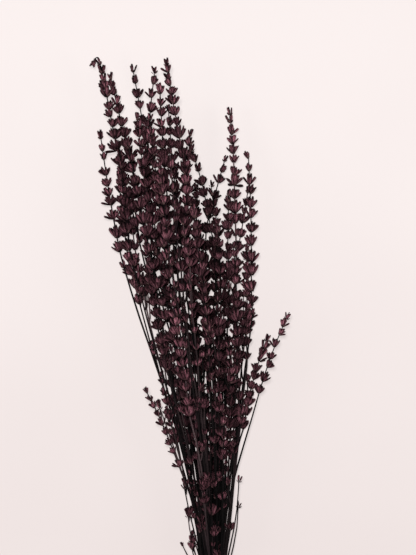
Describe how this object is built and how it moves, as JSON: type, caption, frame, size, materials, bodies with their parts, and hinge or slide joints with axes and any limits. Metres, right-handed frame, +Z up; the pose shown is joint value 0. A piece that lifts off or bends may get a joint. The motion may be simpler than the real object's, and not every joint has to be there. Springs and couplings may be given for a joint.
{
  "type": "bunch of dried lavender",
  "caption": "Cut sprigs of dried lavender with long flower spikes, held together by a rubber band round their stems and lying flat",
  "frame": {"origin": "on the table, under the middle of the whole bunch's bounding box", "axes": "+Y runs along the bunch from the cut ends towards the tips of the flowers, +X is to the right as the bunch is seen from above with its flowers away from the viewer, +Z is up from the table it lies on"},
  "size_m": [0.176, 0.567, 0.0606],
  "materials": {
    "lavender": "dry, matt plant: dusky burgundy flowers on grey-brown square stems",
    "band": "natural tan rubber, slightly satin"
  },
  "bodies": {
    "root": {"sprig_01": "lavender", "sprig_02": "lavender", "sprig_03": "lavender", "sprig_04": "lavender", "sprig_05": "lavender", "sprig_06": "lavender", "sprig_07": "lavender", "sprig_08": "lavender", "sprig_09": "lavender", "sprig_10": "lavender", "sprig_11": "lavender", "sprig_12": "lavender", "sprig_13": "lavender", "sprig_14": "lavender", "sprig_15": "lavender", "sprig_16": "lavender", "sprig_17": "lavender", "sprig_18": "lavender", "sprig_19": "lavender", "sprig_20": "lavender", "sprig_21": "lavender", "sprig_22": "lavender", "sprig_23": "lavender", "sprig_24": "lavender", "sprig_25": "lavender", "sprig_26": "lavender", "sprig_27": "lavender", "sprig_28": "lavender", "sprig_29": "lavender", "sprig_30": "lavender", "sprig_31": "lavender", "sprig_32": "lavender", "sprig_33": "lavender", "sprig_34": "lavender", "sprig_35": "lavender", "sprig_36": "lavender", "sprig_37": "lavender", "sprig_38": "lavender", "sprig_39": "lavender", "sprig_40": "lavender", "sprig_41": "lavender", "sprig_42": "lavender", "sprig_43": "lavender", "sprig_44": "lavender", "sprig_45": "lavender", "sprig_46": "lavender", "sprig_47": "lavender", "sprig_48": "lavender", "sprig_49": "lavender", "sprig_50": "lavender", "sprig_51": "lavender", "sprig_52": "lavender", "sprig_53": "lavender", "sprig_54": "lavender", "sprig_55": "lavender", "sprig_56": "lavender", "sprig_57": "lavender", "sprig_58": "lavender", "sprig_59": "lavender", "rubber_band": "band"}
  },
  "joints": []
}
